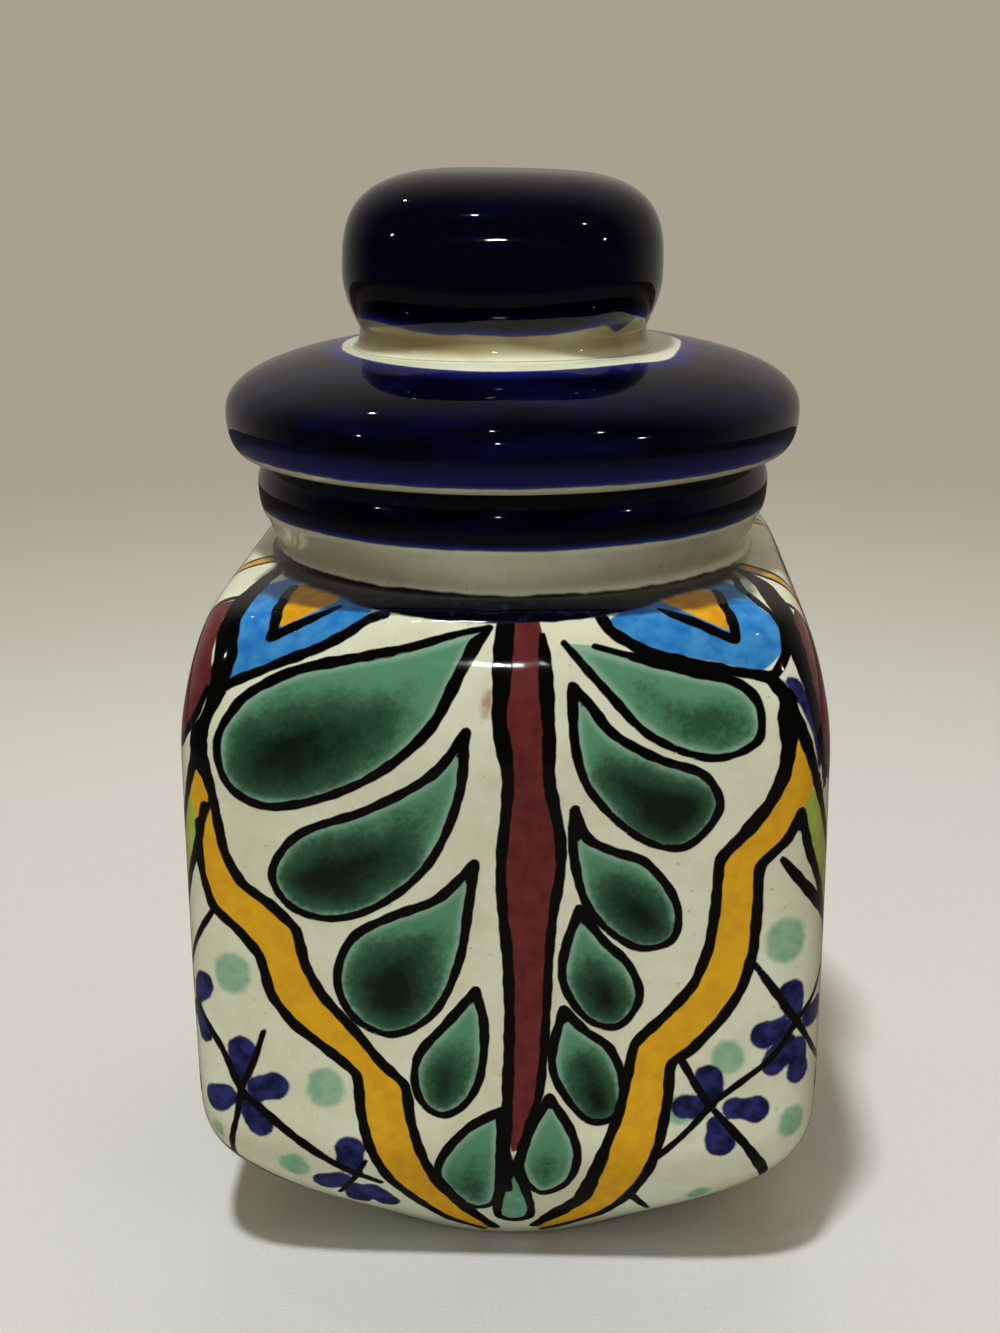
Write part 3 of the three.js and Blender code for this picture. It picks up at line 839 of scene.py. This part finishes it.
class Nodes:
    """Adds nodes to one material or world."""

    def __init__(self, owner):
        owner.use_nodes = True
        self.tree = owner.node_tree
        self.tree.nodes.clear()

    def feed(self, socket, value):
        if isinstance(value, bpy.types.NodeSocket):
            self.tree.links.new(value, socket)
        else:
            socket.default_value = value

    def add(self, kind, inputs=None, **settings):
        node = self.tree.nodes.new(kind)
        for name, value in settings.items():
            setattr(node, name, value)
        for name, value in (inputs or {}).items():
            self.feed(node.inputs[name], value)
        return node

    def field(self, name):
        return self.add("ShaderNodeAttribute", attribute_name=name).outputs["Fac"]

    def position(self):
        return self.add("ShaderNodeTexCoord").outputs["Object"]

    def noise(self, size, detail=2.0, stretch=(1, 1, 1)):
        """Noise with features of about a size in millimetres."""
        scale = [1 / (size * METRES * part) for part in stretch]
        place = self.add("ShaderNodeMapping", {"Vector": self.position(), "Scale": scale}).outputs["Vector"]
        inputs = {"Vector": place, "Scale": 1.0, "Detail": detail}
        return self.add("ShaderNodeTexNoise", inputs).outputs["Fac"]

    def clouds(self, size, detail, low, high, to_low=0.0, to_high=1.0):
        """Patches of noise, spread from one value to another."""
        return self.spread(self.noise(size, detail), low, high, to_low, to_high)

    def shift(self, size, detail, amount):
        """Noise about zero, by up to half an amount either way."""
        return self.math("MULTIPLY", self.math("SUBTRACT", self.noise(size, detail), 0.5), amount)

    def math(self, operation, first, second=0.0):
        return self.add("ShaderNodeMath", {0: first, 1: second}, operation=operation).outputs[0]

    def spread(self, value, low, high, to_low=0.0, to_high=1.0):
        inputs = {"Value": value, "From Min": low, "From Max": high, "To Min": to_low, "To Max": to_high}
        node = self.add("ShaderNodeMapRange", inputs, interpolation_type="SMOOTHSTEP")
        return node.outputs["Result"]

    def mix(self, factor, first, second):
        node = self.add("ShaderNodeMix", {0: factor, 6: first, 7: second}, data_type="RGBA")
        return node.outputs[2]

    def mask(self, depth, softness, unevenness, size=1.2):
        """1 where a painted field's depth is over 0 and 0 elsewhere, with an uneven brushed edge."""
        uneven = self.math("ADD", depth, self.shift(size, 2, unevenness))
        return self.spread(uneven, -softness, softness)

    def bump(self, height, distance):
        inputs = {"Height": height, "Distance": distance * METRES, "Strength": 1.0}
        return self.add("ShaderNodeBump", inputs).outputs["Normal"]

    def principled(self, inputs):
        return self.add("ShaderNodeBsdfPrincipled", inputs).outputs[0]

    def finish(self, shader, kind="ShaderNodeOutputMaterial"):
        self.add(kind, {"Surface": shader})


def new_material(name):
    material = bpy.data.materials.new(name)
    return material, Nodes(material)


def cream_glaze(nodes):
    warm = nodes.mix(nodes.clouds(14, 3, 0.35, 0.7), srgb(220, 226, 204), srgb(209, 213, 186))
    cloudy = nodes.mix(nodes.clouds(2.5, 4, 0.35, 0.7, 0, 0.25), warm, srgb(196, 194, 166))
    stained_and_shaded = nodes.mix(nodes.clouds(7, 4, 0.62, 0.8, 0, 0.4), cloudy, srgb(206, 184, 150))
    return nodes.mix(nodes.clouds(0.8, 1, 0.72, 0.78, 0, 0.5), stained_and_shaded, srgb(150, 130, 100))


def cobalt_glaze(nodes, depth, reach, bright=srgb(9, 10, 52)):
    """Deep cobalt that is bluer where it lies thin, within a reach of its painted edge."""
    streaks = nodes.spread(nodes.noise(5, 4, (2.5, 2.5, 0.5)), 0.4, 0.8)
    deep = nodes.mix(streaks, srgb(2, 2, 14), bright)
    near_edge = nodes.mix(nodes.spread(depth, 0.05, 0.7), srgb(44, 54, 118), srgb(20, 24, 92))
    return nodes.mix(nodes.spread(depth, 0.3, reach), near_edge, deep)


def leaf_colour(nodes, field, rim, middle, shade, dark):
    """A wash that darkens where the glaze has pooled, from a pale rim inwards."""
    clouded = nodes.math("ADD", nodes.field(field + "_pool"), nodes.shift(5, 4, 0.45))
    pool = nodes.math("ADD", clouded, nodes.shift(0.7, 3, 0.25))
    washed = nodes.mix(nodes.spread(nodes.field(field), 0.5, 1.8), rim, middle)
    shaded = nodes.mix(nodes.spread(pool, 0.12, 0.5), washed, shade)
    return nodes.mix(nodes.spread(pool, 0.4, 0.9), shaded, dark)


def jar_material():
    material, nodes = new_material("painted_jar_glaze")
    colour = cream_glaze(nodes)
    mottle = nodes.clouds(2.2, 4, 0.3, 0.7)
    for field, softness, unevenness, *shades in PAINTS:
        shades = [srgb(*shade) for shade in shades]
        paint = nodes.mix(mottle, *shades) if len(shades) == 2 else leaf_colour(nodes, field, *shades)
        depth = nodes.math("ADD", nodes.field(field), UNDER_LINES.get(field, 0.0))
        colour = nodes.mix(nodes.mask(depth, softness, unevenness), colour, paint)
    depth = nodes.field(LINE_LAYERS[0])
    for layer in LINE_LAYERS[1:]:
        depth = nodes.math("MAXIMUM", depth, nodes.field(layer))
    black = nodes.mask(depth, 0.1, 0.2, 2)
    colour = nodes.mix(black, colour, srgb(6, 6, 5))
    wash = nodes.math("MULTIPLY", nodes.mask(nodes.field("neck_wash"), 0.25, 0.5, 3), 0.74)
    colour = nodes.mix(wash, colour, srgb(20, 22, 36))
    patchy = nodes.clouds(1.4, 4, 0.5, 0.8)
    line_paint = nodes.mix(patchy, srgb(2, 2, 13), srgb(22, 24, 52))
    line_paint = nodes.mix(nodes.spread(nodes.field("neck_line"), 0, 0.25), srgb(22, 25, 54), line_paint)
    colour = nodes.mix(nodes.mask(nodes.field("neck_line"), 0.15, 0.5, 3), colour, line_paint)
    rim = nodes.mask(nodes.field("rim"), 0.15, 0.3, 3)
    colour = nodes.mix(rim, colour, cobalt_glaze(nodes, nodes.field("rim"), 1.2))
    bare = nodes.mask(nodes.field("bare"), 0.3, 0.6)
    clay = nodes.mix(nodes.clouds(1, 4, 0.3, 0.7), srgb(196, 160, 128), srgb(176, 138, 108))
    colour = nodes.mix(bare, colour, clay)
    waves = nodes.math("MULTIPLY", nodes.noise(9, 2), 1.6)
    relief = nodes.math("ADD", nodes.math("MULTIPLY", black, 0.5), waves)
    glossy = nodes.clouds(6, 3, 0.3, 0.8, 0.04, 0.09)
    roughness = nodes.math("ADD", nodes.math("MULTIPLY", bare, 0.7), glossy)
    nodes.finish(nodes.principled({
        "Base Color": colour,
        "Roughness": roughness,
        "Specular IOR Level": 0.25,
        "Normal": nodes.bump(relief, 0.07),
    }))
    return material


def cobalt_piece_material(name, shaded_colour, reach, bright):
    """Cobalt where the field "cobalt" is painted, and cream elsewhere, darkened to a mottled colour of
    painted shade where it is "bare".
    """
    material, nodes = new_material(name)
    depth = nodes.field("cobalt")
    # Painted shade: a darker, mottled colour that stands for the shade under the lid's edge and under the
    # knob's overhang
    shaded_tone = nodes.mix(nodes.clouds(9, 2, 0.35, 0.75), shaded_colour, srgb(176, 170, 138))
    stained_and_shaded = nodes.mix(nodes.mask(nodes.field("bare"), 0.9, 0.8, 4), cream_glaze(nodes), shaded_tone)
    colour = nodes.mix(nodes.mask(depth, 0.15, 0.4, 3), stained_and_shaded, cobalt_glaze(nodes, depth, reach, bright))
    relief = nodes.math("MULTIPLY", nodes.noise(11, 2), 1.6)
    roughness = nodes.clouds(6, 3, 0.3, 0.8, 0.03, 0.07)
    nodes.finish(nodes.principled({
        "Base Color": colour,
        "Roughness": roughness,
        "Specular IOR Level": 0.3,
        "Normal": nodes.bump(relief, 0.1),
    }))
    return material


def seal_material():
    material, nodes = new_material("soft_ring")
    colour = nodes.mix(nodes.noise(2, 3), srgb(205, 203, 192), srgb(190, 186, 172))
    nodes.finish(nodes.principled({
        "Base Color": colour,
        "Roughness": 0.55,
        "Subsurface Weight": 0.2,
        "Subsurface Radius": (0.002, 0.002, 0.0015),
        "Normal": nodes.bump(nodes.noise(0.4, 2), 0.02),
    }))
    return material


# How the cloth changes between two distances from the jar's axis, in metres
CLOTH_TO_GLOW = (0.13, 0.36)
GLOW_TO_BACKDROP = (0.15, 0.6)
LIT_TO_DARK = (0.1, 0.42)


def floor_material():
    """Pale cloth round the jar. The camera sees it fade into the backdrop's own colour; other rays see it
    darkened by painted shade.
    """
    material, nodes = new_material("pale_cloth")
    place = nodes.add("ShaderNodeSeparateXYZ", {0: nodes.position()})
    distance = nodes.math("SQRT", nodes.math(
        "ADD",
        nodes.math("POWER", place.outputs[0], 2.0),
        nodes.math("POWER", place.outputs[1], 2.0),
    ))
    weave = nodes.noise(0.5, 1)
    rays = nodes.add("ShaderNodeLightPath")
    seen = rays.outputs["Is Camera Ray"]
    unseen = nodes.math("SUBTRACT", 1.0, seen)
    # Painted shade: rays other than the camera's see the cloth darken away from the jar, and glossy rays
    # see it mostly dark, so the glaze reflects a dim floor
    painted_shade = nodes.math(
        "MAXIMUM",
        nodes.math("MULTIPLY", unseen, nodes.spread(distance, *LIT_TO_DARK)),
        nodes.math("MULTIPLY", rays.outputs["Is Glossy Ray"], 0.88),
    )
    pale = nodes.mix(weave, srgb(199, 202, 200), srgb(191, 194, 192))
    cloth = nodes.principled({
        "Base Color": nodes.mix(painted_shade, pale, srgb(60, 56, 50)),
        "Roughness": 0.9,
        "Specular IOR Level": 0.2,
        "Normal": nodes.bump(weave, 0.1),
    })
    backdrop = nodes.mix(nodes.spread(distance, *GLOW_TO_BACKDROP), srgb(200, 196, 181), BACKDROP)
    glow = nodes.add("ShaderNodeEmission", {"Color": backdrop}).outputs[0]
    far = nodes.math("MULTIPLY", seen, nodes.spread(distance, *CLOTH_TO_GLOW))
    nodes.finish(nodes.add("ShaderNodeMixShader", {0: far, 1: cloth, 2: glow}).outputs[0])
    return material


# The jar

FILLET_FROM = UPS[-1] - NECK_FILLET


def belly_rows():
    """The rows of the belly's outside, and how far up each lies."""
    ups = np.concatenate([
        np.linspace(0, SHOULDER_TOP_FROM, BELLY_ROWS),
        np.linspace(SHOULDER_TOP_FROM, FILLET_FROM, SHOULDER_ROWS)[1:],
    ])
    heights = np.interp(ups, UPS, HEIGHTS)
    rows = [
        (float(belly_half_width(height)), height, float(belly_squareness(height)))
        for height in heights
    ]
    return ups, rows


def neck_rows(shoulder_top):
    slope = (ROLL_UNDERSIDE - NECK) / (ROLL_BOTTOM - NECK_BASE)
    fillet_end = (NECK + NECK_FILLET * slope, NECK_BASE + NECK_FILLET, 2)
    rows = curve_between(shoulder_top, (NECK, NECK_BASE, 2), fillet_end, 6)
    rows += [(NECK + rise * slope, NECK_BASE + rise, 2) for rise in (2.4, 3.2, 4.0, 4.7)]
    return rows


def roll_rows():
    rows = quarter_turn((ROLL_UNDERSIDE - 0.05, ROLL_BOTTOM), (ROLL, ROLL_MIDDLE), 8, True)
    rows += quarter_turn((ROLL, ROLL_MIDDLE), ((ROLL + MOUTH) / 2, MOUTH_TOP), 10, False)
    rows += [(MOUTH + MOUTH_FLAT, MOUTH_TOP, 2)]
    edge_end = (MOUTH, MOUTH_TOP - MOUTH_EDGE, 2)
    rows += curve_between((MOUTH + MOUTH_EDGE, MOUTH_TOP, 2), (MOUTH, MOUTH_TOP, 2), edge_end, 5)
    return rows


def inside_rows():
    """The rows of the inside, from the mouth down to the floor."""
    rows = [(MOUTH, MOUTH_TOP - drop, 2) for drop in (3, 6, 9, 12, 15, 17.5)]
    for height in np.interp(np.linspace(UPS[-1], 0, INSIDE_ROWS), UPS, HEIGHTS):
        climbed = max((height - SHOULDER_HEIGHT) / (NECK_BASE - SHOULDER_HEIGHT), 0)
        sunk = max(1 - height / HEEL_HEIGHT, 0)
        half_width = max(float(belly_half_width(height)) - WALL, MOUTH)
        # A fifth of the way from the outside's squareness to a circle's, which is 2
        squareness = 0.8 * float(belly_squareness(height)) + 0.4
        rows.append((half_width, height - WALL * climbed + FLOOR * sunk, squareness))
    return rows


def foot_rows():
    return [
        (FOOT - FOOT_RING - 6, FOOT_RECESS, 2),
        (FOOT - FOOT_RING - FOOT_RECESS, FOOT_RECESS, 2),
        (FOOT - FOOT_RING, 0.02, 2),
        (FOOT - 0.5, 0, 2),
    ]


def jar_fields(painter, vertices, belly_from, inside_from):
    """The paint at every point of the jar: the belly's, and what goes round the neck, rim and foot."""
    radius, bearing, height = around_axis(vertices)
    outside = np.arange(len(vertices)) < inside_from

    def over_jar(values, elsewhere):
        full = np.full(len(vertices), elsewhere)
        full[belly_from:belly_from + len(values)] = values
        return full

    fields = {name: over_jar(values, UNPAINTED) for name, values in painter.fields.items()}
    from_middle = np.abs((painter.across + FACE) % (2 * FACE) - FACE)
    below_neck = NECK_LINE_TOP - 0.4 * np.cos(bearing) + 0.15 * waver(bearing, 2.6) - height
    near_neck = outside & (height > NECK_LINE_ONLY_ABOVE)
    for name, edge in (("neck_line", NECK_LINE_EDGE), ("neck_wash", NECK_WASH_EDGE)):
        over_edge = over_jar(painter.up - np.interp(from_middle, *zip(*edge)), 2.0)
        line = np.minimum(over_edge, below_neck)
        fields[name] = np.where(near_neck, np.maximum(line, UNPAINTED), UNPAINTED)
    over_roll = height - RIM_COBALT_BOTTOM - 0.15 * waver(bearing, 0.4)
    rim = np.minimum(over_roll, radius - RIM_COBALT_INSIDE)
    fields["rim"] = np.where(outside, rim, UNPAINTED)
    bare = np.minimum(FOOT - 0.2 - radius, radius - FOOT_BARE_INSIDE)
    fields["bare"] = np.where(height < FOOT_BARE_TOP, bare, UNPAINTED)
    return fields


def make_jar():
    places = column_places()
    coarse = places[::COARSER]
    ups, rows = belly_rows()
    belly = np.array([ring(*row, places) for row in rows])
    painter = Painter(belly, places, ups)
    for turn in (0, 2 * FACE):
        paint_face(painter, turn)
    for turn in (FACE, -FACE):
        paint_side(painter, turn)

    rings = [ring(*row, coarse) for row in foot_rows()]
    belly_from = sum(len(points) for points in rings)
    rings += list(belly)
    rings += [ring(*row, places) for row in neck_rows(rows[-1])]
    rings += [ring(*row, coarse) for row in roll_rows()]
    inside_from = sum(len(points) for points in rings)
    rings += [ring(*row, coarse) for row in inside_rows()]
    vertices, faces = stitch(rings, (0, 0, FOOT_RECESS), (0, 0, FLOOR))
    fields = jar_fields(painter, vertices, belly_from, inside_from)
    jar = piece("painted_jar", vertices, faces, jar_material(), fields)
    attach(jar, "jar")
    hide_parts("jar_body")


# The lid, its knob and its sealing ring

def dome_height(radius):
    return LID_EDGE_MIDDLE + LID_CROWN * (1 - (radius / LID) ** 2) ** LID_CROWN_POWER


KNOB_SEAT = float(dome_height(SEAT))


def make_lid():
    underside = KNOB_SEAT - LID_THICKNESS
    below = soften([
        (1, underside), (FLANGE_INSIDE - 1.6, underside), (FLANGE_INSIDE, underside - 3),
        (FLANGE_INSIDE, FLANGE_BOTTOM), (FLANGE, FLANGE_BOTTOM), (FLANGE, GROOVE_BOTTOM),
        (GROOVE, GROOVE_BOTTOM), (GROOVE, GROOVE_TOP), (FLANGE, GROOVE_TOP),
        (FLANGE, LID_UNDERSIDE), (LID - LID_UNDERCUT, LID_UNDERSIDE),
    ], 0.9, 3)
    edge = quarter_turn((LID - LID_UNDERCUT, LID_UNDERSIDE), (LID, LID_EDGE_MIDDLE), 9, True)
    profile = [tuple(point) for point in below] + [row[:2] for row in edge]
    for i in range(1, LID_CROWN_ROWS + 1):
        radius = LID - (LID - SEAT) * (1 - math.cos(math.pi / 2 * i / LID_CROWN_ROWS))
        profile.append((radius, dome_height(radius)))
    profile += [(SEAT - 0.8, KNOB_SEAT), (SEAT - 4, KNOB_SEAT), (1, KNOB_SEAT)]
    rings = turned(profile, LID_COLUMNS)
    vertices, faces = stitch(rings, (0, 0, underside), (0, 0, KNOB_SEAT))

    radius, bearing, height = around_axis(vertices)
    in_front = np.clip(-np.sin(bearing), 0, 1) ** 1.5
    bare_patch = 3.2 * in_front + 1.3 * np.exp(-((bearing + 0.65) / 0.2) ** 2)
    inner_edge = LID_COBALT_INSIDE + 0.2 * waver(bearing, 1.9) + bare_patch
    lower_edge = LID_COBALT_BOTTOM + 0.12 * waver(bearing, 0.8)
    cobalt = np.minimum(radius - inner_edge, height - lower_edge)
    # Painted shade: the lid's underside and lower edge are glazed a greyer, darker cream than its top
    lid_glaze = cobalt_piece_material("lid_cobalt", srgb(186, 182, 156), 4, srgb(8, 9, 46))
    fields = {"cobalt": cobalt, "bare": LID_SHADE_TOP - height}
    lid = piece("glazed_lid", vertices, faces, lid_glaze, fields)
    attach(lid, "lid")
    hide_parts("lid_cover")


def make_knob():
    places = even_places(KNOB_COLUMNS)
    hollow_top = KNOB_HEIGHT - KNOB_WALL
    hollow = KNOB_WAIST - KNOB_WALL
    base = (KNOB_BASE_SQUARENESS,)
    rows = [(2, hollow_top, 2), (hollow - 3, hollow_top, *base), (hollow, hollow_top - 3, *base),
            (hollow, 0, *base), (KNOB_FOOT, 0, *base)]
    rows += curve_between(
        (KNOB_FOOT, 0.05, *base), (KNOB_WAIST, 0.3, *base), (KNOB_WAIST, KNOB_WAIST_HEIGHT + 0.6, *base), 8)
    start = rows[-1][1]
    for i in range(1, KNOB_WAIST_ROWS + 1):
        climbed = i / KNOB_WAIST_ROWS
        spread = math.sin(math.pi / 2 * climbed)
        rows.append((
            KNOB_WAIST + (KNOB - KNOB_WAIST) * spread,
            start + (KNOB_WIDEST_HEIGHT - start) * climbed,
            KNOB_BASE_SQUARENESS + (KNOB_SQUARENESS - KNOB_BASE_SQUARENESS) * climbed,
        ))
    for i in range(1, KNOB_CROWN_ROWS):
        climbed = math.sin(math.pi / 2 * i / KNOB_CROWN_ROWS)
        rows.append((
            KNOB * (1 - climbed ** KNOB_CROWN_FLATNESS) ** KNOB_CROWN_POWER,
            KNOB_WIDEST_HEIGHT + (KNOB_HEIGHT - KNOB_WIDEST_HEIGHT) * climbed,
            KNOB_SQUARENESS,
        ))
    rings = [ring(*row, places) for row in rows]
    for points in rings:
        lean = KNOB_LEAN * points[:, 2] / KNOB_HEIGHT
        points[:, 2] -= lean * points[:, 0]
        points[:, 0] += lean * points[:, 2]
        points += (KNOB_CENTRE, 0, KNOB_SEAT)
    vertices, faces = stitch(
        rings, (KNOB_CENTRE, 0, KNOB_SEAT + hollow_top), (KNOB_CENTRE, 0, KNOB_SEAT + KNOB_HEIGHT))

    radius, bearing, height = around_axis(np.array(vertices) - (KNOB_CENTRE, 0, KNOB_SEAT))
    drip = 1.8 * np.exp(-((bearing + 0.75) / 0.09) ** 2) + 1.4 * np.exp(-((bearing + 0.5) / 0.07) ** 2)
    in_front = smoothstep(np.abs(bearing + math.pi / 2), 0.9, 0.3)
    lower_edge = KNOB_COBALT_BOTTOM - 1.5 * in_front + 0.3 * waver(bearing, 2.2) - drip
    cobalt = np.where(radius < hollow * 1.2, UNPAINTED, height - lower_edge)
    cobalt = np.where(height > hollow_top + 1, 6, cobalt)
    # Painted shade: the knob's waist is glazed tan, partly its own colour and partly the shade under its
    # overhang
    knob_glaze = cobalt_piece_material("knob_cobalt", srgb(150, 136, 98), 1.6, srgb(5, 6, 30))
    fields = {"cobalt": cobalt, "bare": height - KNOB_SHADE_BOTTOM}
    knob = piece("glazed_knob", vertices, faces, knob_glaze, fields)
    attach(knob, "lid")
    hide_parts("lid_knob")


def make_seal():
    rise = (SEAL_TOP - SEAL_BOTTOM) / 4
    profile = soften([
        (SEAL_INSIDE, (SEAL_TOP + SEAL_BOTTOM) / 2), (SEAL_INSIDE, SEAL_BOTTOM), (SEAL_BAND, SEAL_BOTTOM),
        (SEAL_RIB, SEAL_BOTTOM + rise), (SEAL_BAND, SEAL_BOTTOM + 2 * rise),
        (SEAL_RIB, SEAL_BOTTOM + 3 * rise), (SEAL_BAND, SEAL_TOP), (SEAL_INSIDE, SEAL_TOP),
        (SEAL_INSIDE, (SEAL_TOP + SEAL_BOTTOM) / 2),
    ], 0.35, 3)[:-1]
    rings = turned([tuple(point) for point in profile], LID_COLUMNS)
    rings.append(rings[0])
    vertices, faces = stitch(rings, None, None)
    count = len(rings[0])
    last = len(vertices) - count
    faces = [[index - last if index >= last else index for index in face] for face in faces]
    seal = piece("soft_seal", vertices[:last], faces, seal_material(), {})
    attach(seal, "seal")
    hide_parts("lid_seal")


# Floor, light and camera

def make_floor():
    size = 0.6
    sides = 96
    corners = [(size * math.cos(math.tau * i / sides), size * math.sin(math.tau * i / sides), 0)
               for i in range(sides)]
    mesh = bpy.data.meshes.new("floor")
    mesh.from_pydata(corners, [], [tuple(range(sides))])
    mesh.materials.append(floor_material())
    floor = bpy.data.objects.new("floor", mesh)
    bpy.context.scene.collection.objects.link(floor)


def lamp(name, place, size, power, colour, glossy):
    """A round lamp at a place in metres that faces the jar."""
    data = bpy.data.lights.new(name, "AREA")
    data.shape = "DISK"
    data.size = size
    data.energy = power
    data.color = colour
    made = bpy.data.objects.new(name, data)
    aim = Vector((0, 0, 0.08)) - Vector(place)
    made.matrix_world = Matrix.Translation(place) @ aim.to_track_quat("-Z", "Y").to_matrix().to_4x4()
    made.visible_camera = False
    made.visible_glossy = glossy
    bpy.context.scene.collection.objects.link(made)


WHITE_LIGHT = (1, 1, 0.98)
WARM_LIGHT = (1, 0.92, 0.76)
# Soft lamps as (place in metres, size, power, colour)
SOFT_LAMPS = [
    ((-0.18, -0.48, 1.55), 0.14, 20.5, WHITE_LIGHT),
    ((-0.4, -1.2, 0.4), 0.8, 2.6, WARM_LIGHT),
    ((1.0, -0.5, 1.3), 1.2, 2.2, WARM_LIGHT),
    ((0.1, 0.6, 1.4), 1.0, 5, WHITE_LIGHT),
]
# Small lamps that show in the glaze, as degrees round from the front and degrees up
SMALL_LAMP_DISTANCE = 1.2
SMALL_LAMP_SIZE = 0.035
SMALL_LAMP_POWER = 0.36
SMALL_LAMPS = [(-3, 21), (-9, 60), (-60, 23), (54, 20), (43, 45), (-120, 60)]


def make_lights():
    for i, (place, size, power, colour) in enumerate(SOFT_LAMPS):
        lamp("soft_lamp_%d" % i, place, size, power, colour, False)
    for i, (bearing, elevation) in enumerate(SMALL_LAMPS):
        around = math.radians(bearing)
        above = math.radians(elevation)
        reach = SMALL_LAMP_DISTANCE * math.cos(above)
        height = 0.1 + SMALL_LAMP_DISTANCE * math.sin(above)
        place = (reach * math.sin(around), -reach * math.cos(around), height)
        lamp("small_lamp_%d" % i, place, SMALL_LAMP_SIZE, SMALL_LAMP_POWER, WHITE_LIGHT, True)

    world = bpy.data.worlds.new("room")
    bpy.context.scene.world = world
    nodes = Nodes(world)
    towards = nodes.add("ShaderNodeTexCoord").outputs["Generated"]
    direction = nodes.add("ShaderNodeSeparateXYZ", {0: towards})
    sideways = nodes.math("MULTIPLY", direction.outputs[0], 0.12)
    behind = nodes.spread(nodes.math("ADD", direction.outputs[1], sideways), -0.3, 0.7)
    rays = nodes.add("ShaderNodeLightPath")
    lighting = nodes.mix(behind, srgb(58, 44, 29), srgb(174, 136, 86))
    reflected = nodes.mix(behind, srgb(44, 43, 40), srgb(144, 138, 130))
    room = nodes.mix(rays.outputs["Is Glossy Ray"], lighting, reflected)
    shown = nodes.mix(rays.outputs["Is Camera Ray"], room, BACKDROP)
    background = nodes.add("ShaderNodeBackground", {"Color": shown, "Strength": 1.0})
    nodes.finish(background.outputs[0], "ShaderNodeOutputWorld")


def make_camera():
    data = bpy.data.cameras.new("camera")
    data.sensor_fit = "AUTO"
    data.sensor_width = 36
    data.lens = FOCAL_PIXELS / LONG_SIDE_PIXELS * 36
    data.clip_start = 0.01
    camera = bpy.data.objects.new("camera", data)
    place = Vector((
        CAMERA_DISTANCE * math.sin(JAR_TURN),
        -CAMERA_DISTANCE * math.cos(JAR_TURN),
        CAMERA_HEIGHT,
    )) * METRES
    turn = Matrix.Rotation(JAR_TURN + AIM_OFFSET, 4, "Z")
    tilt = Matrix.Rotation(math.pi / 2 - CAMERA_TILT, 4, "X")
    roll = Matrix.Rotation(CAMERA_ROLL, 4, "Z")
    camera.matrix_world = Matrix.Translation(place) @ turn @ tilt @ roll
    bpy.context.scene.collection.objects.link(camera)
    bpy.context.scene.camera = camera


make_camera()
make_jar()
make_lid()
make_knob()
make_seal()
make_floor()
make_lights()
bpy.context.scene.view_settings.view_transform = "Standard"
